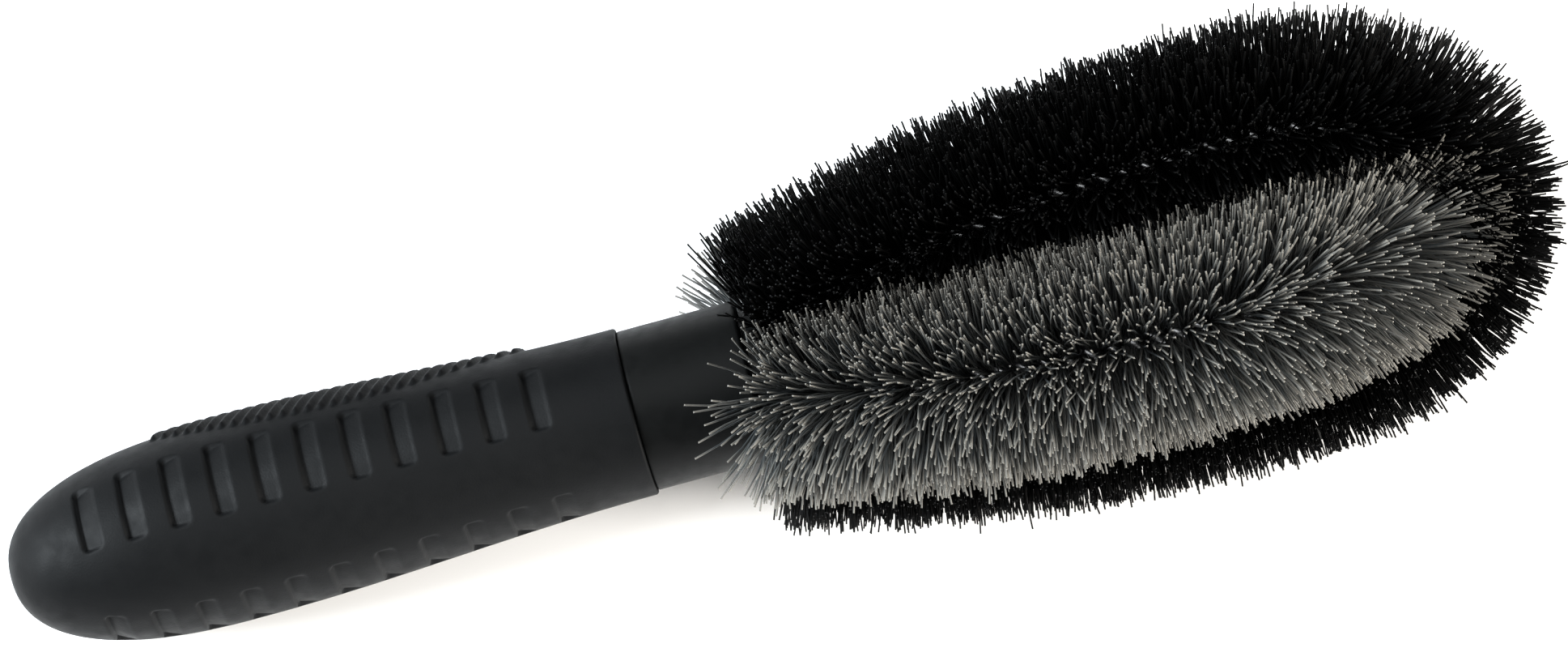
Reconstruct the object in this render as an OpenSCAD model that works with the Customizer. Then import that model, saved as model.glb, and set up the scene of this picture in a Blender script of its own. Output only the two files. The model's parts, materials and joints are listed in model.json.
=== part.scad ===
// Wheel brush: a moulded handle with a soft ribbed grip, and a head made of two crossed loops
// of twisted-in-wire brush, one black and one grey.
// Every sub-part is drawn along +X, from the butt of the handle (x = 0) to the tip of the head,
// with the grey loop in the XZ plane and the black loop in the XY plane. placed() then turns the
// brush about its axis and tips it, so that it lies on z = 0 as it rests on a bench.

/* [Handle] */
// Length of the moulded core, from the butt to the mouth of the neck
handle_len = 133; // [120:1:160]
// Radius of the grip at its fullest place
grip_r = 17.5; // [16:0.1:22]
// Distance from the butt to the fullest place of the grip
grip_full_at = 40; // [32:1:50]
// Squareness of the rounded butt, where 2 is an ellipse
butt_power = 2.4; // [2:0.1:3]
// Length of the smooth neck in front of the soft grip sleeve
neck_len = 21; // [14:1:30]
// Thickness of the grip sleeve
grip_wall = 2.4; // [1.5:0.1:3]
// Radius of the neck in front of the sleeve
neck_r = 14.1; // [11.5:0.1:16]
// Height of the step from the neck up to the sleeve
grip_step = 0.7; // [0.3:0.1:1.2]
// Thickness of the neck's wall around the plug
neck_wall = 3.1; // [2:0.1:3.5]
// Depth of the hollow in the core, measured from the mouth
core_hollow_len = 98; // [60:1:100]
// Radius of the small roundings at the edges of the neck and the plug
edge_r = 0.8; // [0.3:0.1:1.2]

/* [Grip pattern] */
// Turn of the grip's smooth front from the grey loop
grip_turn = 10; // [0:1:20]
// Spacing of the pockets along the grip
pocket_pitch = 7.96; // [6:0.01:9]
// Distance from the butt to the middle of the first pocket
pocket_first = 16.8; // [14:0.1:22]
// Plain length at the front of the sleeve, without pockets
pocket_margin = 14; // [6:0.5:30]
// Width of a pocket along the grip
pocket_w = 4; // [2.5:0.1:5]
// Angle that a pocket spans around the grip
pocket_arc = 47; // [25:1:55]
// Angle from the smooth front to the middle of a row of pockets
pocket_at = 47.5; // [40:0.5:52]
// Depth of a pocket
pocket_depth = 1; // [0.5:0.1:1.4]
// Spacing of the fine ribs across the back
rib_pitch = 2.26; // [1.8:0.02:2.4]
// Distance from the butt to the first rib, at the rib's ends
rib_first = 28.3; // [26:0.1:36]
// Height of the fine ribs
rib_h = 0.8; // [0.4:0.1:1.2]
// Width of a rib
rib_w = 1.1; // [0.8:0.1:1.4]
// Angle that the ribs span across the back
rib_arc = 180; // [150:5:200]
// How far the middle of the ribs lies round from the back of the pockets' pattern
rib_turn = 10; // [0:1:20]
// Lean of the ribs, which run forwards from their ends to the middle of the back
rib_lean = 20; // [15:1:25]
// Plain length at the front of the sleeve, without ribs
rib_margin = 20; // [12:0.5:30]

/* [Plug] */
// Length of the shank inside the neck
plug_len = 28; // [20:1:34]
// How far the collar in front of the neck is smaller in radius than the neck
collar_step = 1.1; // [0.5:0.1:2]
// Thickness of the collar
collar_t = 3.1; // [2:0.1:4]
// Slit between the neck's mouth and the collar
collar_slit = 0.5; // [0.2:0.1:0.8]
// Clearance around the shank and around each twisted wire
press_gap = 0.03; // [0.01:0.01:0.06]

/* [Twisted wires] */
// Radius of one strand of wire
strand_r = 0.77; // [0.5:0.01:0.95]
// Clearance between the two strands of a pair
strand_gap = 0.01; // [0.01:0.01:0.1]
// Length of one full twist
twist_pitch = 7.6; // [6:0.1:10]
// Distance from the rim of the plug's shank to the middle of each wire
exit_inset = 2.5; // [2.2:0.1:4]
// Length of wire held in the plug
wire_hold = 24; // [15:1:26]
// Length over which a wire bends outwards as it leaves the plug
bend_len = 6; // [4:0.5:10]
// How quickly the loops open out behind their widest place
fullness = 2.4; // [2:0.1:3.2]

/* [Black loop] */
// Distance from the collar to the widest place of the black loop
black_wide_at = 88.4; // [70:0.1:110]
// Half of the black loop's width, from axis to wire
black_half = 20.8; // [17:0.1:24]
// Length of the black loop's rounded end, beyond its widest place
black_nose = 30; // [26:0.5:34]
// Length of the black filaments
black_fill = 20; // [17:0.1:21]

/* [Grey loop] */
// How far the widest place of the grey loop lies behind that of the black loop
grey_setback = 21; // [8:0.5:24]
// Half of the grey loop's width, from axis to wire
grey_half = 21.5; // [17:0.1:24]
// Length of the grey loop's rounded end, beyond its widest place
grey_nose = 42; // [32:0.5:46]
// Length of the grey filaments
grey_fill = 20.5; // [17:0.1:21]

/* [Filament groups] */
// Gap between one group of filaments and the next
fill_gap = 0.3; // [0.2:0.05:0.6]
// Clearance between a group of filaments and the twisted wire through it
channel_gap = 0.25; // [0.15:0.05:0.5]
// Gap between the foremost wire and the filaments that stand for the tip
cap_gap = 1; // [0.3:0.1:3]

/* [Hidden] */
$fn = 64;

turn_steps = 6;          // rings on a strand for each full twist
strand_sides = 5;
outline_steps = 9;       // points on each stretch of the handle's outline
section_steps = 8;       // flats on the round side of a filament group
too_far = 400;

grip_len = handle_len - neck_len;
grip_end_r = neck_r + grip_step;
pocket_count = 1 + floor((grip_len - pocket_margin - pocket_first) / pocket_pitch);
rib_count = 1 + floor((grip_len - rib_margin - rib_first) / rib_pitch);
plug_r = neck_r - neck_wall;
shelf_w = 2;             // ledge at the bottom of the plug's socket
rib_root = 0.3;          // depth to which a rib is sunk in the grip
draft_r = 2;             // how much the hollow behind the socket narrows
core_hollow_r = plug_r - shelf_w - draft_r;
collar_r = neck_r - collar_step;
exit_r = plug_r - exit_inset;

collar_x = handle_len + collar_slit + collar_t;
// The strands' centrelines are polygons, so their helix is wider than a strand by that much
twist_r = strand_r / cos(180 / turn_steps) + strand_gap;
pair_r = twist_r + strand_r;
wire_hole_r = pair_r + press_gap;
wire_end_x = collar_x - wire_hold;

// A loop is [half width, widest place, length of nose, filament length]
BLACK = [black_half, collar_x + black_wide_at, black_nose, black_fill];
GREY = [grey_half, BLACK[1] - grey_setback, grey_nose, grey_fill];

tip_x = BLACK[1] + black_nose + black_fill;
fill_x = collar_x + fill_gap;
cap_x = BLACK[1] + black_nose + pair_r + cap_gap;
stretch = (BLACK[1] - fill_x) / 3;
CUTS = [fill_x, fill_x + stretch, fill_x + 2 * stretch, BLACK[1], cap_x];

// ---- Handle outline ----

// Radius of the grip at x, from the butt to the front of the sleeve
function dome(u) = pow(1 - pow(1 - u, butt_power), 1 / butt_power);
function taper(x) = let (u = (x - grip_full_at) / (grip_len - grip_full_at))
    grip_end_r + (grip_r - grip_end_r) * (1 + cos(180 * u)) / 2;
function grip_at(x) = x < grip_full_at ? grip_r * dome(max(0, x) / grip_full_at) : taper(x);

// Outline points [radius, x] of the grip, drawn in by a wall of thickness w
function butt_outline(w) = [for (i = [0 : outline_steps])
    let (a = 90 * i / outline_steps, u = 1 - cos(a))
    [(grip_r - w) * dome(u), w + (grip_full_at - w) * u]];
function taper_outline(w) = [for (i = [1 : outline_steps])
    let (x = grip_full_at + (grip_len - grip_full_at) * i / outline_steps)
    [taper(x) - w, x]];
function outline(w) = concat(butt_outline(w), taper_outline(w));

// ---- Wire loops ----

// A wire leaves the plug straight, bends over bend_len, and then opens out along a smooth curve
function eased(v) = v < 0 ? 0 : v < bend_len ? v * v / (2 * bend_len) : v - bend_len / 2;
function leg_w(x, loop) =
    let (run = loop[1] - collar_x - bend_len / 2, u = min(1, eased(x - collar_x) / run))
    exit_r + (loop[0] - exit_r) * (1 - pow(1 - u, fullness));
function nose_point(a, loop) = [loop[1] + loop[2] * cos(a), loop[0] * sin(a)];

// Half of a loop as points [x, distance from the axis], from x0 to the nose, about step apart
function half_loop(loop, x0, step) =
    let (legs = ceil((loop[1] - x0) / step), turns = ceil(1.3 * (loop[0] + loop[2]) / 1.6 / step))
    concat(
        [for (i = [0 : legs - 1]) let (x = x0 + (loop[1] - x0) * i / legs) [x, leg_w(x, loop)]],
        [for (i = [0 : turns]) nose_point(90 - 90 * i / turns, loop)]);
function whole_loop(loop, x0, step) = let (h = half_loop(loop, x0, step))
    concat(h, [for (i = [len(h) - 2 : -1 : 0]) [h[i][0], -h[i][1]]]);

// Distance travelled along a list of points, for each point
function travelled(p, done = [0]) = len(done) == len(p) ? done
    : let (i = len(done)) travelled(p, concat(done, [done[i - 1] + norm(p[i] - p[i - 1])]));

// Unit normal to the path at point i, in the plane of the loop
function path_normal(p, i) =
    let (a = p[max(0, i - 1)], b = p[min(len(p) - 1, i + 1)], d = (b - a) / norm(b - a)) [-d[1], d[0]];

// One ring of a tube: a polygon of the given sides around point i, shifted by a twist
function ring(p, i, r, sides, shift_r, turn) =
    let (n = path_normal(p, i))
    [for (j = [0 : sides - 1])
        let (a = 360 * j / sides,
             across = shift_r * cos(turn) + r * cos(a),
             above = shift_r * sin(turn) + r * sin(a))
        [p[i][0] + across * n[0], p[i][1] + across * n[1], above]];

// Stacks rings into one closed solid, with flat ends
module stacked(rings) {
    count = len(rings);
    sides = len(rings[0]);
    points = [for (r = rings, q = r) q];
    walls = [for (i = [0 : count - 2], j = [0 : sides - 1])
        let (a = i * sides + j, b = i * sides + (j + 1) % sides)
        each [[b, a, a + sides], [b, a + sides, b + sides]]];
    first = [for (j = [0 : sides - 1]) j];
    last = [for (j = [sides - 1 : -1 : 0]) (count - 1) * sides + j];
    polyhedron(points, concat(walls, [first, last]));
}

// One strand of a twisted pair; phase 0 or 180 tells the two strands apart
module strand(loop, phase) {
    path = whole_loop(loop, wire_end_x, twist_pitch / turn_steps);
    along = travelled(path);
    stacked([for (i = [0 : len(path) - 1])
        ring(path, i, strand_r, strand_sides, twist_r, phase + 360 * along[i] / twist_pitch)]);
}

// Room for a loop's twisted pair through the filaments, between x0 and x1
module wire_room(loop, x0, x1) {
    step = 4;
    r = pair_r + channel_gap;
    path = [for (q = whole_loop(loop, collar_x - step, step))
        if (q[0] > x0 - 3 * step && q[0] < x1 + 3 * step) q];
    // Where the stretch ends before the nose, the two legs are two tubes
    turns_over = x1 + 3 * step > loop[1] + loop[2];
    upper = [for (q = path) if (q[1] > 0) q];
    lower = [for (q = path) if (q[1] < 0) q];
    for (run = turns_over ? [path] : [upper, lower])
        if (len(run) > 1)
            stacked([for (i = [0 : len(run) - 1]) ring(run, i, r, 6, 0, 0)]);
}

// ---- Filament groups ----

// How far the tips of the filaments reach from the axis at x, measured in the loop's plane
function nose_reach(a, loop) =
    let (n = [loop[0] * cos(a), loop[2] * sin(a)], d = norm(n))
    [loop[1] + loop[2] * cos(a) + loop[3] * n[0] / d, loop[0] * sin(a) + loop[3] * n[1] / d];
function reach_at(x, loop) = x < loop[1] ? leg_w(x, loop) + loop[3]
    : lookup(x, [for (a = [90 : -3 : 0]) nose_reach(a, loop)]);

// Cross-section at x of the quarter that one leg fills: straight sides at 45 degrees, round outside
function quarter(x, loop) =
    let (gap = fill_gap / sqrt(2),
         r = loop[3],
         c = reach_at(x, loop) - r,
         s = ((c + gap) + sqrt(2 * r * r - pow(c - gap, 2))) / 2,
         open = atan2(s - gap, s - c))
    concat([[x, gap, 0]],
        [for (k = [0 : section_steps]) let (a = -open + 2 * open * k / section_steps)
            [x, c + r * cos(a), r * sin(a)]]);

module filament_group(loop, part) {
    x0 = CUTS[part] + (part > 0 ? fill_gap / 2 : 0);
    x1 = CUTS[part + 1] - fill_gap / 2;
    steps = 5;
    difference() {
        stacked([for (i = [0 : steps]) quarter(x0 + (x1 - x0) * i / steps, loop)]);
        wire_room(loop, x0, x1);
        if (part == 3)
            wire_room_other(loop, x0, x1);
    }
}

// At the nose each loop also passes through the other loop's filaments
module wire_room_other(loop, x0, x1) {
    rotate([90, 0, 0])
        wire_room(loop == BLACK ? GREY : BLACK, x0, x1);
}

// The outermost filaments, which close the head all round
module tip_group() {
    x0 = cap_x + fill_gap / 2;
    wide = reach_at(x0, BLACK);
    sides = 16;
    stacked([for (u = [0, 0.25, 0.5, 0.7, 0.85, 0.95, 0.995])
        let (x = x0 + (tip_x - x0) * u, f = pow(1 - pow(u, 1.5), 1 / 1.5))
        [for (j = [0 : sides - 1]) let (a = 360 * j / sides)
            [x, wide * f * cos(a), black_fill * f * sin(a)]]]);
}

// ---- Resting place ----

// The brush lies on a black leg, a grey leg and the ribs of the grip. The roll brings both legs
// level, and the tilt is the one at which head and grip reach equally low.
rest_roll = atan2(grey_half, black_half)
    + asin((grey_fill - black_fill) / norm([black_half, grey_half]));
function leg_drop(x) = max(leg_w(x, BLACK) * sin(rest_roll) + black_fill,
                           leg_w(x, GREY) * cos(rest_roll) + grey_fill);
function head_low(tilt) = min([for (x = [collar_x : 4 : GREY[1]])
    x * sin(tilt) - leg_drop(x) * cos(tilt)]);
function grip_low(tilt) = min([for (x = [rib_first : 2 : grip_len])
    x * sin(tilt) - (grip_at(x) + rib_h) * cos(tilt)]);
function level(lo, hi, tries) = let (mid = (lo + hi) / 2) tries == 0 ? mid
    : head_low(mid) < grip_low(mid) ? level(mid, hi, tries - 1) : level(lo, mid, tries - 1);
rest_tilt = level(0, 15, 16);
rest_z = -head_low(rest_tilt);
rest_x = -tip_x * cos(rest_tilt) / 2;

module placed() {
    translate([rest_x, 0, rest_z])
        rotate([0, -rest_tilt, 0])
            rotate([rest_roll, 0, 0])
                children();
}

// Turns a loop's own XY plane into the plane it has on the brush
module in_plane(loop) {
    rotate([loop == GREY ? 90 : 0, 0, 0])
        children();
}

// Revolves an outline of points [radius, x] about the X axis
module turned(points) {
    rotate([0, 90, 0])
        rotate_extrude()
            polygon(points);
}

// ---- Handle pieces ----

module handle_core() {
    socket_x = handle_len - plug_len;
    hollow_x = handle_len - core_hollow_len;
    color([0.15, 0.155, 0.16])
        placed()
            turned(concat(
                outline(grip_wall),
                [[neck_r, grip_len], [neck_r, handle_len - edge_r], [neck_r - edge_r, handle_len],
                 [plug_r, handle_len], [plug_r, socket_x], [plug_r - shelf_w, socket_x],
                 [core_hollow_r, hollow_x], [0, hollow_x]]));
}

// A band around the grip at x, from angle a0 over span degrees; a = 0 faces the grey loop
module band(x, w, inner, outer, middle, span) {
    rotate([90 + middle - span / 2, 0, 0])
        rotate([0, 90, 0])
            rotate([0, 0, 90])
                rotate_extrude(angle = span)
                    polygon([[grip_at(x - w / 2) + inner, x - w / 2], [grip_at(x + w / 2) + inner, x + w / 2],
                             [grip_at(x + w / 2) + outer, x + w / 2], [grip_at(x - w / 2) + outer, x - w / 2]]);
}

// A shallow pocket around the grip, with its floor parallel to the grip's surface
module pocket(x, middle) {
    band(x, pocket_w, -pocket_depth, 2, middle, pocket_arc);
}

// Leaning plates that stand out of the back of the grip by the height of a rib
module ribs() {
    ends_z = -grip_r * cos(rib_arc / 2);
    rotate([rib_turn, 0, 0])
        intersection() {
            turned(concat(outline(-rib_h), [for (i = [2 * outline_steps : -1 : 0]) outline(rib_root)[i]]));
            for (i = [0 : rib_count - 1])
                translate([rib_first + i * rib_pitch, 0, 0])
                    rotate([0, -rib_lean, 0])
                        translate([-rib_w / 2, -too_far / 2, ends_z - too_far])
                            cube([rib_w, too_far, too_far]);
        }
}

module grip_sleeve() {
    color([0.22, 0.225, 0.23])
        placed()
            rotate([-grip_turn, 0, 0])
                difference() {
                    union() {
                        turned(concat(outline(0), [for (i = [2 * outline_steps : -1 : 0]) outline(grip_wall)[i]]));
                        ribs();
                    }
                    for (i = [0 : pocket_count - 1], side = [-1, 1])
                        pocket(pocket_first + i * pocket_pitch, side * pocket_at);
                }
}

module neck_plug() {
    shank_r = plug_r - press_gap;
    color([0.11, 0.115, 0.12])
        placed()
            difference() {
                turned([[0, handle_len - plug_len + press_gap], [shank_r, handle_len - plug_len + press_gap],
                        [shank_r, handle_len + collar_slit], [collar_r, handle_len + collar_slit],
                        [collar_r, collar_x - edge_r], [collar_r - edge_r, collar_x], [0, collar_x]]);
                for (a = [0 : 90 : 270])
                    rotate([a, 0, 0])
                        translate([wire_end_x - 1, exit_r, 0])
                            rotate([0, 90, 0])
                                cylinder(h = too_far, r = wire_hole_r);
            }
}

// ---- Wires ----

module wire_strand(loop, phase) {
    color([0.62, 0.63, 0.64])
        placed()
            in_plane(loop)
                strand(loop, phase);
}

module black_wire_strand_a() { wire_strand(BLACK, 0); }
module black_wire_strand_b() { wire_strand(BLACK, 180); }
module grey_wire_strand_a() { wire_strand(GREY, 0); }
module grey_wire_strand_b() { wire_strand(GREY, 180); }

// ---- Filaments: loop, side of the brush in degrees about its axis, and place along the leg ----

module fill(loop, side, part) {
    color(loop == BLACK ? [0.04, 0.04, 0.045] : [0.46, 0.46, 0.45])
        placed()
            rotate([side, 0, 0])
                filament_group(loop, part);
}

module black_upper_rear() { fill(BLACK, 0, 0); }
module black_upper_middle() { fill(BLACK, 0, 1); }
module black_upper_wide() { fill(BLACK, 0, 2); }
module black_upper_nose() { fill(BLACK, 0, 3); }
module black_lower_rear() { fill(BLACK, 180, 0); }
module black_lower_middle() { fill(BLACK, 180, 1); }
module black_lower_wide() { fill(BLACK, 180, 2); }
module black_lower_nose() { fill(BLACK, 180, 3); }
module grey_front_rear() { fill(GREY, 90, 0); }
module grey_front_middle() { fill(GREY, 90, 1); }
module grey_front_wide() { fill(GREY, 90, 2); }
module grey_front_nose() { fill(GREY, 90, 3); }
module grey_back_rear() { fill(GREY, 270, 0); }
module grey_back_middle() { fill(GREY, 270, 1); }
module grey_back_wide() { fill(GREY, 270, 2); }
module grey_back_nose() { fill(GREY, 270, 3); }

module black_tip() {
    color([0.04, 0.04, 0.045])
        placed()
            tip_group();
}

handle_core();
grip_sleeve();
neck_plug();
black_wire_strand_a();
black_wire_strand_b();
grey_wire_strand_a();
grey_wire_strand_b();
black_upper_rear();
black_upper_middle();
black_upper_wide();
black_upper_nose();
black_lower_rear();
black_lower_middle();
black_lower_wide();
black_lower_nose();
grey_front_rear();
grey_front_middle();
grey_front_wide();
grey_front_nose();
grey_back_rear();
grey_back_middle();
grey_back_wide();
grey_back_nose();
black_tip();
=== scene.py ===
"""Wheel brush: a moulded handle with a soft ribbed grip, and a head of two crossed loops of
twisted-in-wire brush. Shapes are worked out along the handle's axis in millimetres, with x from
the butt to the tip, y in the plane of the black loop and z in the plane of the grey loop, and
place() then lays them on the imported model, in metres."""

import json
import math

import bpy
import numpy as np
from mathutils import Matrix, Vector


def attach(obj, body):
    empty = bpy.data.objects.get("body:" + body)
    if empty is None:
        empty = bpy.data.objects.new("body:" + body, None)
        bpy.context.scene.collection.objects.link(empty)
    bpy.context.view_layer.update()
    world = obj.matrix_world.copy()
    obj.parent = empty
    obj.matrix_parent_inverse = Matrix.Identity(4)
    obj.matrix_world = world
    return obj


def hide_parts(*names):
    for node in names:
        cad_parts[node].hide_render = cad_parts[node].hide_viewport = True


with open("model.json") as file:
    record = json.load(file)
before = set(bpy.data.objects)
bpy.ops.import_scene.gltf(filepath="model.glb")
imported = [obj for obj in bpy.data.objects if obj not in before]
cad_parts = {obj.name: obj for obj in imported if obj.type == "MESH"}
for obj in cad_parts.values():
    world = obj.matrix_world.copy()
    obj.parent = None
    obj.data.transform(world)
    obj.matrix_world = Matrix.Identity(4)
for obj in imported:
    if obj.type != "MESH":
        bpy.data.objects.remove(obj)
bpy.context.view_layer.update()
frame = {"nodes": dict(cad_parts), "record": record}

# ---- Sizes, in millimetres and degrees, as in the part's source ----

HANDLE_LEN, NECK_LEN, NECK_R = 133.0, 21.0, 14.1
GRIP_R, GRIP_FULL_AT, BUTT_POWER, GRIP_WALL, GRIP_STEP = 17.5, 40.0, 2.4, 2.4, 0.7
GRIP_LEN = HANDLE_LEN - NECK_LEN
GRIP_END_R = NECK_R + GRIP_STEP
GRIP_TURN = 10.0
PLUG_LEN, PLUG_R, COLLAR_SLIT, COLLAR_T = 28.0, 11.0, 0.5, 3.1
COLLAR_X = HANDLE_LEN + COLLAR_SLIT + COLLAR_T

POCKETS, POCKET_FIRST, POCKET_PITCH = 11, 16.8, 7.96
POCKET_W, POCKET_ARC, POCKET_AT, POCKET_DEPTH = 4.0, 47.0, 47.5, 1.0
RIBS, RIB_FIRST, RIB_PITCH, RIB_H, RIB_W = 29, 28.3, 2.26, 0.8, 1.1
RIB_TURN, RIB_LEAN, RIB_SWEEP = 10.0, 20.0, 90.0

STRAND_R, TWIST_R, TWIST_PITCH = 0.77, 0.80, 7.6
EXIT_R, BEND_LEN, FULLNESS, WIRE_HOLD = 8.5, 6.0, 2.4, 24.0
# half width, widest place, length of nose, filament length
BLACK = (20.8, COLLAR_X + 88.4, 30.0, 20.0)
GREY = (21.5, COLLAR_X + 67.4, 42.0, 20.5)

# ---- Where the brush lies ----

neck = frame["record"]["mounts"][0]  # the clip's place, in the middle of the neck
AXIS = Vector(neck["axis"]).normalized()
NECK_MIDDLE = HANDLE_LEN - NECK_LEN / 2
TILT = math.asin(AXIS.z)
ROLL = math.atan2(GREY[0], BLACK[0]) + math.asin((GREY[3] - BLACK[3]) / math.hypot(GREY[0], BLACK[0]))
TURN = Matrix.Rotation(-TILT, 3, "Y") @ Matrix.Rotation(ROLL, 3, "X")
TURN_NP = np.array(TURN)
BUTT = np.array(Vector(neck["pos_m"]) - AXIS * NECK_MIDDLE / 1000)


def place(points):
    """Points along the handle's axis in millimetres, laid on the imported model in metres."""
    return np.asarray(points, float) @ TURN_NP.T / 1000 + BUTT


# ---- Camera ----

CAMERA_AZIMUTH, CAMERA_ELEVATION = -13.9, 72.5
CAMERA_DISTANCE, PICTURE_WIDTH = 1.6, 0.2703
CAMERA_AIM = (140.4, 7.9)  # along the handle's axis, and from it towards the picture's top


def make_camera():
    data = bpy.data.cameras.new("camera")
    camera = bpy.data.objects.new("camera", data)
    bpy.context.scene.collection.objects.link(camera)
    data.lens = data.sensor_width * CAMERA_DISTANCE / PICTURE_WIDTH
    a, e = math.radians(CAMERA_AZIMUTH), math.radians(CAMERA_ELEVATION)
    back = Vector((math.sin(a) * math.cos(e), -math.cos(a) * math.cos(e), math.sin(e)))
    aim = Vector(place([[CAMERA_AIM[0], 0, 0]])[0])
    aim += back.cross(AXIS).normalized() * CAMERA_AIM[1] / 1000
    camera.location = aim + back * CAMERA_DISTANCE
    camera.rotation_euler = back.to_track_quat("Z", "Y").to_euler()
    data.clip_start, data.clip_end = 0.05, 20
    bpy.context.scene.camera = camera


make_camera()


# ---- Nodes and colours ----


def srgb(code, alpha=1.0):
    """A hex colour such as #1f2022 as linear numbers."""
    parts = [int(code[i:i + 2], 16) / 255 for i in (1, 3, 5)]
    return [c / 12.92 if c <= 0.04045 else ((c + 0.055) / 1.055) ** 2.4 for c in parts] + [alpha]


def add(tree, kind, inputs=None, **settings):
    """Adds a node. inputs maps a socket's name or place to a value or to another node's output."""
    node = tree.nodes.new(kind)
    for name, value in settings.items():
        setattr(node, name, value)
    for key, value in (inputs or {}).items():
        socket = node.inputs[key]
        if isinstance(value, bpy.types.NodeSocket):
            tree.links.new(value, socket)
        else:
            socket.default_value = value
    return node


def new_material(name):
    """A material with a bare tree, and its output node."""
    material = bpy.data.materials.new(name)
    material.use_nodes = True
    material.node_tree.nodes.clear()
    output = add(material.node_tree, "ShaderNodeOutputMaterial")
    return material, material.node_tree, output


def surface(tree, output, inputs):
    shader = add(tree, "ShaderNodeBsdfPrincipled", inputs)
    tree.links.new(shader.outputs[0], output.inputs[0])


PER_MM = 1000.0  # pattern repeats per metre for one repeat each millimetre


def noise(tree, size_mm, detail=2.0, rough=0.5):
    """Noise on the piece's own coordinates with features of that size."""
    coordinates = add(tree, "ShaderNodeTexCoord").outputs["Object"]
    return add(tree, "ShaderNodeTexNoise", {
        "Vector": coordinates, "Scale": PER_MM / size_mm,
        "Detail": detail, "Roughness": rough}).outputs[0]


def ramp(tree, value, low, high):
    """Spreads value's middle range, 0.3 to 0.7, over low to high."""
    return add(tree, "ShaderNodeMapRange", {
        "Value": value, "From Min": 0.3, "From Max": 0.7, "To Min": low, "To Max": high}).outputs[0]


def blend_colours(tree, share, first, second):
    return add(tree, "ShaderNodeMix", {0: share, 6: first, 7: second}, data_type="RGBA").outputs[2]


def soft_rubber():
    """Charcoal thermoplastic rubber from a spark-eroded mould: matt, with a fine grain that
    breaks up the highlight, and a slightly greyer bloom where hands have dried on it."""
    material, tree, output = new_material("charcoal_thermoplastic_rubber")
    bloom = ramp(tree, noise(tree, 14, 3), 0, 1)
    grain = noise(tree, 0.35, 2)
    surface(tree, output, {
        "Base Color": blend_colours(tree, bloom, srgb("#090a0b"), srgb("#0b0c0d")),
        "Roughness": ramp(tree, noise(tree, 3), 0.5, 0.62),
        "Normal": add(tree, "ShaderNodeBump", {
            "Height": grain, "Strength": 0.25, "Distance": 0.00012}).outputs[0],
        "Specular IOR Level": 0.09, "IOR": 1.5})
    return material


def satin_polypropylene():
    """Black polypropylene from a lightly textured mould: smoother than the grip, with a soft
    even sheen and faint flow marks."""
    material, tree, output = new_material("satin_black_polypropylene")
    flow = ramp(tree, noise(tree, 9, 3), 0, 1)
    surface(tree, output, {
        "Base Color": blend_colours(tree, flow, srgb("#090a0a"), srgb("#0c0d0d")),
        "Roughness": ramp(tree, noise(tree, 2), 0.40, 0.52),
        "Normal": add(tree, "ShaderNodeBump", {
            "Height": noise(tree, 0.5), "Strength": 0.15, "Distance": 0.0001}).outputs[0],
        "Specular IOR Level": 0.09, "IOR": 1.49})
    return material


def galvanised_wire():
    """Drawn steel wire with a zinc coat: bright metal, dulled in patches where the coat has
    oxidised, so that it glints between the filaments."""
    material, tree, output = new_material("galvanised_drawn_wire")
    oxide = ramp(tree, noise(tree, 1.2, 3), 0, 1)
    surface(tree, output, {
        "Base Color": blend_colours(tree, oxide, srgb("#c4c6c8"), srgb("#96999b")),
        "Metallic": 1.0,
        "Roughness": ramp(tree, noise(tree, 0.8), 0.25, 0.45)})
    return material


def filament_plastic(name, dark, light, tip, rough, gloss):
    """Extruded plastic filament. The tone differs a little from one filament to the next, as
    the melt does; the last fifth towards the tip is painted paler, as painted light on the tips and
    painted shade deeper in by the roots."""
    material, tree, output = new_material(name)
    tone = add(tree, "ShaderNodeAttribute", attribute_name="tone").outputs["Fac"]
    along = add(tree, "ShaderNodeAttribute", attribute_name="along").outputs["Fac"]
    body = blend_colours(tree, tone, dark, light)
    # painted light: the last fifth of each filament turns towards the paler tip colour, which leaves
    # painted shade nearer the roots
    painted_tip_light = add(tree, "ShaderNodeMapRange", {
        "Value": along, "From Min": 0.8, "From Max": 1.0, "To Min": 0.0, "To Max": 0.6}).outputs[0]
    surface(tree, output, {
        "Base Color": blend_colours(tree, painted_tip_light, body, tip),
        "Roughness": rough,
        "Specular IOR Level": gloss, "IOR": 1.5})
    return material


RUBBER = soft_rubber()
POLYPROPYLENE = satin_polypropylene()
WIRE = galvanised_wire()
# the third colour of each filament material is the painted light on its tips
BLACK_FILL = filament_plastic("black_polypropylene_filament", srgb("#020202"), srgb("#050505"),
                              srgb("#080808"), 0.5, 0.12)
GREY_FILL = filament_plastic("grey_polypropylene_filament", srgb("#34383a"), srgb("#62625f"),
                             srgb("#88847c"), 0.5, 0.3)


# ---- Meshes ----


def new_piece(name, points, faces, material):
    """A piece from points in millimetres, at the origin with its place in its mesh."""
    mesh = bpy.data.meshes.new(name)
    mesh.from_pydata(place(points).tolist(), [], faces)
    mesh.validate()
    mesh.materials.append(material)
    mesh.shade_smooth()
    piece = bpy.data.objects.new(name, mesh)
    bpy.context.scene.collection.objects.link(piece)
    return piece


def finish_piece(piece, slot, *nodes):
    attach(piece, "root")
    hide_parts(*nodes)


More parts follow.
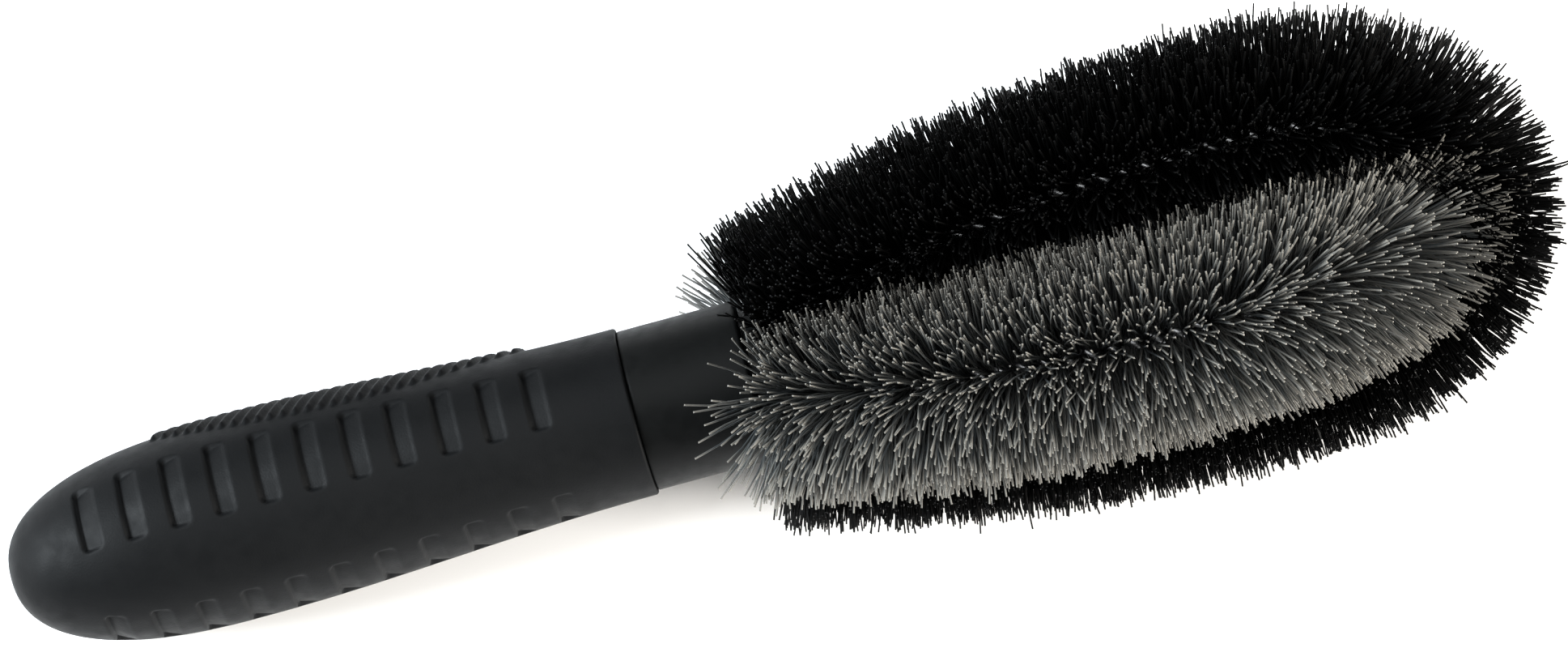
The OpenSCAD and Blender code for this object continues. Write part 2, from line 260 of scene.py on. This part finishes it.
def turned_body(rows, sides, relief=None):
    """Points and faces of a body turned about the x axis. rows are places (x, r) along its
    outline, from axis to axis; relief(i, x, angles) gives what row i's radius gains at each
    angle."""
    angles = 2 * np.pi * np.arange(sides) / sides
    rings = []
    for i, (x, r) in enumerate(rows[1:-1], 1):
        radii = np.full(sides, r) + (relief(i, x, angles) if relief else 0)
        ring = [np.full(sides, x), radii * np.sin(angles), radii * np.cos(angles)]
        rings.append(np.column_stack(ring))
    points = np.vstack([[[rows[0][0], 0, 0]], *rings, [[rows[-1][0], 0, 0]]])
    here = np.arange(sides)
    following = (here + 1) % sides
    last = len(points) - 1
    final = last - sides
    faces = [[0, 1 + j, 1 + k] for j, k in zip(here, following)]
    for a in range(1, final, sides):
        b = a + sides
        faces += np.column_stack([a + here, b + here, b + following, a + following]).tolist()
    faces += [[last, final + k, final + j] for j, k in zip(here, following)]
    return points, faces


# ---- Handle ----


def dome(u):
    return (1 - (1 - u) ** BUTT_POWER) ** (1 / BUTT_POWER)


def grip_at(x):
    """Radius of the plain grip at x."""
    if x < GRIP_FULL_AT:
        return GRIP_R * dome(max(0.0, x) / GRIP_FULL_AT)
    u = (x - GRIP_FULL_AT) / (GRIP_LEN - GRIP_FULL_AT)
    return GRIP_END_R + (GRIP_R - GRIP_END_R) * (1 + math.cos(math.pi * u)) / 2


def smooth_step(v):
    v = np.clip(v, 0, 1)
    return v * v * (3 - 2 * v)


def pocket_cut(x, angles):
    """Depth of the pockets at x. Each is deepest at its rear wall and runs out forwards."""
    cut = np.zeros_like(angles)
    corner, wall, front_share = 1.2, 0.5, 0.1
    for i in range(POCKETS):
        u = x - (POCKET_FIRST + i * POCKET_PITCH)
        if abs(u) > POCKET_W / 2:
            continue
        for side in (-1, 1):
            off = (angles - math.radians(side * POCKET_AT) + np.pi) % (2 * np.pi) - np.pi
            v = off * grip_at(x)
            half_v = math.radians(POCKET_ARC / 2) * grip_at(POCKET_FIRST + i * POCKET_PITCH)
            du = max(abs(u) - (POCKET_W / 2 - corner), 0.0)
            dv = np.maximum(np.abs(v) - (half_v - corner), 0.0)
            inside = corner - np.hypot(du, dv)
            fade = front_share + 0.5 - u / POCKET_W
            cut = np.maximum(cut, POCKET_DEPTH * fade * smooth_step(inside / wall))
    return cut


def rib_rise(x, angles):
    """Height of the fine ribs at x. They lean forwards towards the middle of the back, and
    end on a slight curve."""
    off = angles + math.radians(RIB_TURN) - np.pi
    behind = grip_at(x) * np.cos(off)
    lean = math.radians(RIB_LEAN)
    along = (x - RIB_FIRST - behind * math.tan(lean)) / RIB_PITCH
    from_rib = (along - np.clip(np.round(along), 0, RIBS - 1)) * RIB_PITCH * math.cos(lean)
    middle = RIB_FIRST + (RIBS - 1) * RIB_PITCH / 2
    ends = RIB_SWEEP - math.sqrt(max(0.0, RIB_SWEEP ** 2 - (x - middle) ** 2))
    flare, flank, run_out = 0.1, 0.45, 1.2
    crest = smooth_step((RIB_W / 2 + flare - np.abs(from_rib)) / flank)
    return RIB_H * crest * smooth_step((behind - ends) / run_out + 0.5)


def grip_relief(x, angles):
    turned = angles - math.radians(GRIP_TURN)
    return rib_rise(x, turned) - pocket_cut(x, turned)


def inner_outline():
    """Outline of the core under the grip, from the grip's front to the axis at the butt,
    where its points crowd together."""
    taper = np.linspace(GRIP_LEN, GRIP_FULL_AT, 25)
    butt = 1 - np.linspace(0, 1, 24) ** 2
    rows = [(x, grip_at(x) - GRIP_WALL) for x in taper]
    rows += [(GRIP_WALL + (GRIP_FULL_AT - GRIP_WALL) * u, (GRIP_R - GRIP_WALL) * dome(u))
             for u in butt[1:-1]]
    return rows + [(GRIP_WALL, 0)]


def grip_sleeve():
    lip, rows_per_rib, sides = 0.5, 6, 280
    patterned = POCKET_FIRST - POCKET_W / 2 - 1
    butt = patterned * np.linspace(0, 1, 28) ** 1.8
    body = np.arange(patterned, GRIP_LEN - lip, RIB_PITCH / rows_per_rib)
    outer = [(x, grip_at(x)) for x in (*butt, *body[1:])]
    front = rounded(GRIP_LEN - lip, GRIP_END_R - lip, lip, 0, 90)

    def relief(i, x, angles):
        return grip_relief(x, angles) if i < len(outer) else 0

    points, faces = turned_body(outer + front + inner_outline(), sides, relief)
    piece = new_piece("grip_sleeve_moulding", points, faces, RUBBER)
    finish_piece(piece, "grip", "grip_sleeve")


def rounded(corner_x, corner_r, size, start, end, steps=5):
    """Points of a rounding about a centre (corner_x, corner_r), from start to end degrees."""
    return [(corner_x + size * math.sin(math.radians(start + (end - start) * i / steps)),
             corner_r + size * math.cos(math.radians(start + (end - start) * i / steps)))
            for i in range(steps + 1)]


def handle_core():
    edge, nick, ledge, sides = 0.8, 0.3, 2.0, 160
    socket_x, hollow_x, hollow_r = HANDLE_LEN - PLUG_LEN, 35.0, 7.0
    rows = inner_outline()[::-1]
    rows += [(GRIP_LEN, NECK_R - nick), (GRIP_LEN + nick, NECK_R)]
    rows += [(x, NECK_R) for x in np.linspace(GRIP_LEN + 1, HANDLE_LEN - edge - 1, 8)]
    rows += rounded(HANDLE_LEN - edge, NECK_R - edge, edge, 0, 90)
    rows += [(HANDLE_LEN, PLUG_R + nick), (HANDLE_LEN - nick, PLUG_R)]
    rows += [(socket_x, PLUG_R), (socket_x, PLUG_R - ledge), (hollow_x, hollow_r), (hollow_x, 0)]
    points, faces = turned_body(rows, sides)
    piece = new_piece("handle_core_moulding", points, faces, POLYPROPYLENE)
    finish_piece(piece, "core", "handle_core")


# ---- Wire loops ----


def leg_w(x, loop):
    """Distance of a loop's wire from the axis at x, behind its widest place."""
    half, wide = loop[:2]
    v = x - COLLAR_X
    eased = 0 if v < 0 else v * v / (2 * BEND_LEN) if v < BEND_LEN else v - BEND_LEN / 2
    u = min(1.0, eased / (wide - COLLAR_X - BEND_LEN / 2))
    return EXIT_R + (half - EXIT_R) * (1 - (1 - u) ** FULLNESS)


class Loop:
    """The middle line of one loop, from its upper end in the plug round to its lower end, as
    evenly spaced points in the loop's own plane."""

    def __init__(self, colour, sizes):
        self.colour = colour
        half, wide, nose, self.fill = sizes
        spacing, behind, ahead = 0.25, 600, 400  # of the even points; points worked out at first
        legs = [(x, leg_w(x, sizes)) for x in np.linspace(COLLAR_X - WIRE_HOLD, wide, behind)]
        angles = np.linspace(np.pi / 2, 0, ahead)[1:]
        arc = [(wide + nose * math.cos(a), half * math.sin(a)) for a in angles]
        upper = np.array(legs + arc)
        path = np.vstack([upper, upper[-2::-1] * [1, -1]])
        along = np.concatenate([[0], np.cumsum(np.hypot(*np.diff(path, axis=0).T))])
        self.length = along[-1]
        self.s = np.linspace(0, self.length, int(self.length / spacing))
        self.x = np.interp(self.s, along, path[:, 0])
        self.w = np.interp(self.s, along, path[:, 1])
        tangent = np.gradient(np.column_stack([self.x, self.w]), axis=0)
        self.t = tangent / np.linalg.norm(tangent, axis=1)[:, None]

    def at(self, s):
        """Points, tangents and outward normals in the loop's plane at distances s."""
        x, w, tx, tw = (np.interp(s, self.s, v) for v in (self.x, self.w, *self.t.T))
        p = np.column_stack([x, w])
        t = np.column_stack([tx, tw])
        t /= np.linalg.norm(t, axis=1)[:, None]
        n = np.column_stack([-t[:, 1], t[:, 0]])
        return p, t, n

    def distance_at(self, x, upper=True):
        """How far along the loop its upper or lower leg passes x."""
        half = len(self.s) // 2
        found = np.interp(x, self.x[:half], self.s[:half])
        return found if upper else self.length - found


BLACK_LOOP = Loop("black", BLACK)
GREY_LOOP = Loop("grey", GREY)


def in_space(loop, p2, above):
    """Points (x, across) in the loop's plane and above it, as x, y, z."""
    if loop is BLACK_LOOP:
        return np.column_stack([p2[:, 0], p2[:, 1], above])
    return np.column_stack([p2[:, 0], -above, p2[:, 1]])


def tree_inputs(tree, sockets):
    """Gives the tree a geometry and those sockets, as the outputs and inputs of its end nodes."""
    tree.interface.new_socket("Geometry", in_out="INPUT", socket_type="NodeSocketGeometry")
    for name, kind in sockets:
        tree.interface.new_socket(name, in_out="INPUT", socket_type=kind)
    tree.interface.new_socket("Geometry", in_out="OUTPUT", socket_type="NodeSocketGeometry")
    return tree.nodes.new("NodeGroupInput").outputs, tree.nodes.new("NodeGroupOutput").inputs


def swept_to_mesh(tree, line, radius, sides, material, result):
    """Sweeps a section with that many sides along line, and hands the mesh to the tree's end."""
    section = add(tree, "GeometryNodeCurvePrimitiveCircle", {"Resolution": sides, "Radius": radius})
    tube = add(tree, "GeometryNodeCurveToMesh", {
        "Curve": line, "Profile Curve": section.outputs[0], "Fill Caps": True}).outputs[0]
    real = add(tree, "GeometryNodeRealizeInstances", {"Geometry": tube}).outputs[0]
    shaded = add(tree, "GeometryNodeSetShadeSmooth", {0: real}).outputs[0]
    done = add(tree, "GeometryNodeSetMaterial", {"Geometry": shaded, "Material": material})
    tree.links.new(done.outputs[0], result[0])


def strand_tree():
    """Sweeps a round wire along a line of points."""
    tree = bpy.data.node_groups.new("wire_strand", "GeometryNodeTree")
    given, result = tree_inputs(tree, [
        ("Wire radius", "NodeSocketFloat"), ("Material", "NodeSocketMaterial")])
    line = add(tree, "GeometryNodeMeshToCurve", {"Mesh": given["Geometry"]}).outputs[0]
    swept_to_mesh(tree, line, given["Wire radius"], 8, given["Material"], result)
    return tree


def stood_filaments(tree, given, carried):
    """A straight stem on every root point, along its aim and of its length."""
    roots = add(tree, "GeometryNodeMeshToPoints", {"Mesh": given["Geometry"]}).outputs[0]
    line = add(tree, "GeometryNodeCurvePrimitiveLine", {"Start": (0, 0, 0), "End": (0, 0, 1)})
    stem = add(tree, "GeometryNodeResampleCurve", {
        "Curve": line.outputs[0], "Count": given["Points"]}).outputs[0]
    turn = add(tree, "FunctionNodeAlignRotationToVector", {
        "Vector": carried("aim", "FLOAT_VECTOR")}, axis="Z").outputs[0]
    size = add(tree, "ShaderNodeCombineXYZ", {0: 1.0, 1: 1.0, 2: carried("length", "FLOAT")})
    stood = add(tree, "GeometryNodeInstanceOnPoints", {
        "Points": roots, "Instance": stem, "Rotation": turn, "Scale": size.outputs[0]}).outputs[0]
    return add(tree, "GeometryNodeRealizeInstances", {"Geometry": stood}).outputs[0]


def crimp_offset(tree, given, carried, factor):
    """Noise that grows from a filament's root to its tip, and differs between filaments."""
    here = add(tree, "GeometryNodeInputPosition").outputs[0]
    shift = add(tree, "ShaderNodeVectorMath", {
        0: carried("phase", "FLOAT_VECTOR"), 1: here}, operation="ADD").outputs[0]
    scale = add(tree, "ShaderNodeMath", {0: 1.0, 1: given["Crimp size"]}, operation="DIVIDE")
    wave = add(tree, "ShaderNodeTexNoise", {
        "Vector": shift, "Scale": scale.outputs[0], "Detail": 0.0},
        noise_dimensions="3D").outputs["Color"]
    centred = add(tree, "ShaderNodeVectorMath", {
        0: wave, 1: (0.5, 0.5, 0.5)}, operation="SUBTRACT").outputs[0]
    height = add(tree, "ShaderNodeMath", {0: factor, 1: given["Crimp"]}, operation="MULTIPLY")
    return add(tree, "ShaderNodeVectorMath", {
        0: centred, "Scale": height.outputs[0]}, operation="SCALE").outputs[0]


def filament_tree():
    """Stands a filament on every root point. Each point carries its aim, its length and the
    way its tip is swept; noise bends each filament a little further."""
    tree = bpy.data.node_groups.new("brush_filaments", "GeometryNodeTree")
    given, result = tree_inputs(tree, [
        ("Filament radius", "NodeSocketFloat"), ("Crimp", "NodeSocketFloat"),
        ("Crimp size", "NodeSocketFloat"), ("Points", "NodeSocketInt"),
        ("Material", "NodeSocketMaterial")])

    def carried(name, kind):
        return add(tree, "GeometryNodeInputNamedAttribute", {"Name": name}, data_type=kind).outputs[0]

    stems = stood_filaments(tree, given, carried)
    factor = add(tree, "GeometryNodeSplineParameter").outputs["Factor"]
    kept = add(tree, "GeometryNodeStoreNamedAttribute", {
        "Geometry": stems, "Name": "along", "Value": factor},
        data_type="FLOAT", domain="POINT").outputs[0]
    squared = add(tree, "ShaderNodeMath", {0: factor, 1: factor}, operation="MULTIPLY").outputs[0]
    swept = add(tree, "ShaderNodeVectorMath", {
        0: carried("sweep", "FLOAT_VECTOR"), "Scale": squared}, operation="SCALE").outputs[0]
    crimped = crimp_offset(tree, given, carried, factor)
    offset = add(tree, "ShaderNodeVectorMath", {0: swept, 1: crimped}, operation="ADD").outputs[0]
    moved = add(tree, "GeometryNodeSetPosition", {"Geometry": kept, "Offset": offset}).outputs[0]
    swept_to_mesh(tree, moved, given["Filament radius"], 3, given["Material"], result)
    return tree


STRAND_TREE = strand_tree()
FILAMENT_TREE = filament_tree()


def grown(name, base, tree, values):
    """base run through the tree with those input values, as a plain mesh under that name."""
    holder = bpy.data.objects.new(name + "_roots", base)
    bpy.context.scene.collection.objects.link(holder)
    modifier = holder.modifiers.new("grow", "NODES")
    modifier.node_group = tree
    sockets = {item.name: item.identifier
               for item in tree.interface.items_tree if item.in_out == "INPUT"}
    for key, value in values.items():
        modifier[sockets[key]] = value
    depsgraph = bpy.context.evaluated_depsgraph_get()
    mesh = bpy.data.meshes.new_from_object(holder.evaluated_get(depsgraph), depsgraph=depsgraph)
    mesh.name = name
    for spent in {"aim", "sweep", "phase", "length"} & set(mesh.attributes.keys()):
        mesh.attributes.remove(mesh.attributes[spent])
    piece = bpy.data.objects.new(name, mesh)
    bpy.context.scene.collection.objects.link(piece)
    bpy.data.objects.remove(holder)
    bpy.data.meshes.remove(base)
    return piece


def wire_strand(name, loop, phase, node):
    per_turn = 10
    count = int(loop.length / TWIST_PITCH * per_turn)
    s = np.linspace(0, loop.length, count)
    p, _, n = loop.at(s)
    turn = np.radians(phase) + 2 * np.pi * s / TWIST_PITCH
    middle = p + n * (TWIST_R * np.cos(turn))[:, None]
    points = place(in_space(loop, middle, TWIST_R * np.sin(turn)))
    base = bpy.data.meshes.new(name)
    base.from_pydata(points.tolist(), [(i, i + 1) for i in range(count - 1)], [])
    piece = grown(name, base, STRAND_TREE, {"Wire radius": STRAND_R / 1000, "Material": WIRE})
    finish_piece(piece, "wire", node)


# ---- Filaments ----

FILAMENTS_PER_MM = 95
FILAMENT_R = 0.19
FILAMENT_POINTS = 5
ROOT_OUT = 0.6         # from the wire's middle line to where a filament begins
CRIMP, CRIMP_SIZE = 1.8, 6.0  # how far noise bends the tips, and the size of its features
TIP_SWAY = 0.7         # how far the tips bend at random
SPREAD = (13.0, 38.0)  # degrees that filaments fan out from the twist's own direction:
LOOSE_SHARE = 0.4      # tightly held ones, and this share of loose ones
PARTING = 0.22         # how strongly the grey ones part along the outside of their loop
LEAN = 5.0             # degrees that they lean at random along the wire

# At the plug: degrees that black and grey lean back, and up to how much further the first do
BASE_LEAN = {"black": (6.0, 10.0), "grey": (18.0, 38.0)}
BASE_REACH = 9.0       # distance over which that lean dies out
STRAY_REACH = 3.0      # length of wire that the first ones stand on
INNER_REACH = 8.0      # length of wire where those on the inside are pushed forwards
INNER_PUSH = (0.25, 0.1)  # by how much, and how much that varies

LENGTH_VARIES, LONGEST = 0.03, 1.04  # shares of a filament's length
GIVE = 2.0             # how much the limits below differ from one filament to the next
OVERLAP = {"black": (0.5, 0.5), "grey": (3.0, 0.5)}  # reach past the upper and the lower limit
LOWER_TRIM = 0.1       # how much shorter the grey ones beside the lower black leg are
FLOOR_GAP, SHORTEST = 1.5, 4.0
NOSE_SWEEP_FROM, NOSE_SWEEP_OVER = 195.0, 25.0
NOSE_SWEEP = {"black": 0.5, "grey": 2.5}  # how far tips bend forwards in the nose


def nearest(points, loop):
    """Distance of each point from a loop's middle line."""
    every = 12
    line = np.column_stack([loop.x, loop.w])[::every]
    line = in_space(loop, line, np.zeros(len(line)))
    return np.min(np.linalg.norm(points[:, None, :] - line[None, :, :], axis=2), axis=1)


class Roots:
    """Where filaments stand on a loop, with the loop's own directions there."""

    def __init__(self, loop, s):
        p, t, n = loop.at(s)
        level = np.zeros(len(s))
        self.loop, self.s, self.count = loop, s, len(s)
        self.points = in_space(loop, p, level)
        self.along = in_space(loop, t, level)
        self.outward = in_space(loop, n, level)
        self.above = in_space(loop, np.zeros((self.count, 2)), np.ones(self.count))


def fanned(roots, rng):
    """Directions off the wire, which turn with its twist."""
    turn = 2 * np.pi * roots.s / TWIST_PITCH + np.pi / 2 + np.pi * rng.integers(0, 2, roots.count)
    spread = np.where(rng.uniform(0, 1, roots.count) < LOOSE_SHARE, SPREAD[1], SPREAD[0])
    turn += np.radians(spread) * rng.standard_normal(roots.count)
    if roots.loop is GREY_LOOP:
        turn += PARTING * np.sin(2 * turn)
    return roots.outward * np.cos(turn)[:, None] + roots.above * np.sin(turn)[:, None]


def leant(roots, aim, rng):
    """The directions, leaning a little along the wire. At the plug the first filaments on the
    outside lean back over the collar, and those on the inside are pushed forwards."""
    loop, s = roots.loop, roots.s
    start = loop.distance_at(COLLAR_X)
    from_end = np.minimum(s - start, loop.length - start - s)
    forwards = np.where(s < loop.length / 2, 1.0, -1.0)
    radial = roots.points * [0, 1, 1]
    radial /= np.maximum(np.linalg.norm(radial, axis=1), 1e-6)[:, None]
    outside = np.clip(np.sum(aim * radial, axis=1), 0, 1)
    steady, stray = BASE_LEAN[loop.colour]
    back = steady * np.exp(-from_end / BASE_REACH)
    back += np.where(from_end < STRAY_REACH, rng.uniform(0, stray, roots.count), 0)
    lean = np.radians(LEAN * rng.standard_normal(roots.count)) - np.radians(back * outside)
    aim = aim * np.cos(lean)[:, None] + roots.along * (forwards * np.sin(lean))[:, None]
    inner = (from_end < INNER_REACH) & (outside < 0.2)
    aim[inner, 0] += np.abs(rng.normal(*INNER_PUSH, inner.sum()))
    return aim / np.linalg.norm(aim, axis=1)[:, None]


def trimmed(roots, aim, rng):
    """Lengths of the filaments, which give way to the other loop's where the two meet. The grey
    ones overlie the black, and none reaches below the surface that the brush lies on."""
    loop = roots.loop
    length = loop.fill * (1 + LENGTH_VARIES * rng.standard_normal(roots.count))
    length = np.minimum(length, loop.fill * LONGEST)
    if loop is GREY_LOOP:
        length *= 1 - LOWER_TRIM * np.clip(-aim[:, 1], 0, 1)
    give = rng.uniform(0, GIVE, roots.count)
    other, own_axis, other_axis = (GREY_LOOP, 1, 2) if loop is BLACK_LOOP else (BLACK_LOOP, 2, 1)
    tries, shortened, clearance = 5, 0.86, 1.0
    for _ in range(tries):
        tip = roots.points + aim * length[:, None]
        past = np.abs(tip[:, other_axis]) - np.abs(tip[:, own_axis])
        allowed = np.where(tip[:, 1] > 0, *OVERLAP[loop.colour]) + give
        clash = (past > allowed) & (nearest(tip, other) < other.fill - clearance)
        length = np.where(clash, length * shortened, length)
    level = 1e-3
    down = -(aim @ TURN_NP.T)[:, 2]
    height = place(roots.points)[:, 2] * 1000 - FLOOR_GAP
    to_floor = np.where(down > level, height / np.maximum(down, level), np.inf)
    return np.minimum(length, np.maximum(to_floor, SHORTEST))


def add_field(mesh, label, kind, values):
    field = mesh.attributes.new(label, kind, "POINT")
    key = "vector" if kind == "FLOAT_VECTOR" else "value"
    field.data.foreach_set(key, np.ascontiguousarray(values, np.float32).ravel())


def filaments(name, loop, s0, s1, material, slot, node, seed):
    """The filaments that stand on a loop between the distances s0 and s1."""
    rng = np.random.default_rng(seed)
    count = int((s1 - s0) * FILAMENTS_PER_MM)
    roots = Roots(loop, rng.uniform(s0, s1, count))
    aim = leant(roots, fanned(roots, rng), rng)
    length = trimmed(roots, aim, rng)
    sweep = rng.standard_normal((count, 3)) * TIP_SWAY
    in_nose = smooth_step((roots.points[:, 0] - NOSE_SWEEP_FROM) / NOSE_SWEEP_OVER)
    sweep[:, 0] += NOSE_SWEEP[loop.colour] * in_nose

    base = bpy.data.meshes.new(name)
    base.from_pydata(place(roots.points + aim * ROOT_OUT).tolist(), [], [])
    add_field(base, "aim", "FLOAT_VECTOR", aim @ TURN_NP.T)
    add_field(base, "sweep", "FLOAT_VECTOR", sweep / 1000)
    add_field(base, "phase", "FLOAT_VECTOR", rng.uniform(0, 1, (count, 3)))
    add_field(base, "length", "FLOAT", (length - ROOT_OUT) / 1000)
    add_field(base, "tone", "FLOAT", rng.uniform(0, 1, count))
    piece = grown(name, base, FILAMENT_TREE, {
        "Filament radius": FILAMENT_R / 1000, "Crimp": CRIMP / 1000,
        "Crimp size": CRIMP_SIZE / 1000, "Points": FILAMENT_POINTS, "Material": material})
    finish_piece(piece, slot, node)


def cuts_along(loop, upper):
    """Where a leg's groups of filaments begin and end, as distances along the loop."""
    stretch = (BLACK[1] - COLLAR_X) / 3
    xs = [COLLAR_X + 0.3, COLLAR_X + stretch, COLLAR_X + 2 * stretch, BLACK[1]]
    return [loop.distance_at(x, upper) for x in xs]


def brush_leg(colour, side, loop, upper, apex, material, slot, seed):
    """The four groups of one leg; the last runs to the distance apex along the loop."""
    marks = cuts_along(loop, upper) + [apex]
    for i, stretch in enumerate(("rear", "middle", "wide", "nose")):
        s0, s1 = sorted(marks[i:i + 2])
        node = f"{colour}_{side}_{stretch}"
        filaments(f"{node}_filaments", loop, s0, s1, material, slot, node, seed + i)


def brush_head():
    for k, phase in (("a", 0), ("b", 180)):
        wire_strand(f"black_twisted_strand_{k}", BLACK_LOOP, phase, f"black_wire_strand_{k}")
        wire_strand(f"grey_twisted_strand_{k}", GREY_LOOP, phase, f"grey_wire_strand_{k}")
    tip = 14.0  # distance on each side of the black loop's foremost point that black_tip stands for
    middle = BLACK_LOOP.length / 2
    brush_leg("black", "upper", BLACK_LOOP, True, middle - tip, BLACK_FILL, "black_fill", 10)
    brush_leg("black", "lower", BLACK_LOOP, False, middle + tip, BLACK_FILL, "black_fill", 20)
    filaments("black_tip_filaments", BLACK_LOOP, middle - tip, middle + tip,
              BLACK_FILL, "black_fill", "black_tip", 30)
    middle = GREY_LOOP.length / 2
    brush_leg("grey", "front", GREY_LOOP, True, middle, GREY_FILL, "grey_fill", 40)
    brush_leg("grey", "back", GREY_LOOP, False, middle, GREY_FILL, "grey_fill", 50)


# ---- Surroundings ----


def floor():
    size = 6.0
    mesh = bpy.data.meshes.new("floor")
    corners = [(-size, -size, 0), (size, -size, 0), (size, size, 0), (-size, size, 0)]
    mesh.from_pydata(corners, [], [(0, 1, 2, 3)])
    material, tree, output = new_material("white_paper_sweep")
    surface(tree, output, {"Base Color": srgb("#f4f4f4"), "Roughness": 0.9})
    mesh.materials.append(material)
    plane = bpy.data.objects.new("floor", mesh)
    bpy.context.scene.collection.objects.link(plane)


def softbox(name, place_m, aim_m, size, watts, colour):
    data = bpy.data.lights.new(name, "AREA")
    data.shape = "RECTANGLE"
    data.size, data.size_y = size
    data.energy = watts
    data.color = colour
    lamp = bpy.data.objects.new(name, data)
    lamp.location = place_m
    lamp.rotation_euler = (Vector(place_m) - Vector(aim_m)).to_track_quat("Z", "Y").to_euler()
    bpy.context.scene.collection.objects.link(lamp)


def studio():
    world = bpy.data.worlds.new("studio")
    world.use_nodes = True
    world.node_tree.nodes["Background"].inputs["Color"].default_value = (1, 1, 1, 1)
    world.node_tree.nodes["Background"].inputs["Strength"].default_value = 0.25
    bpy.context.scene.world = world
    softbox("window", (-1.1, 0.25, 0.65), (-0.05, 0, 0.03), (0.8, 0.5), 46, (0.88, 0.95, 1.0))
    softbox("warm_side", (0.95, -0.6, 0.4), (0.06, 0, 0.03), (0.45, 0.35), 40, (1.0, 0.96, 0.9))
    softbox("overhead", (0.1, 0.15, 1.4), (0, 0, 0.03), (1.2, 1.2), 11, (1, 1, 1))
    bpy.context.scene.view_settings.view_transform = "Standard"


grip_sleeve()
handle_core()
for plug_slot in frame["nodes"]["neck_plug"].material_slots:
    plug_slot.material = POLYPROPYLENE
brush_head()
floor()
studio()
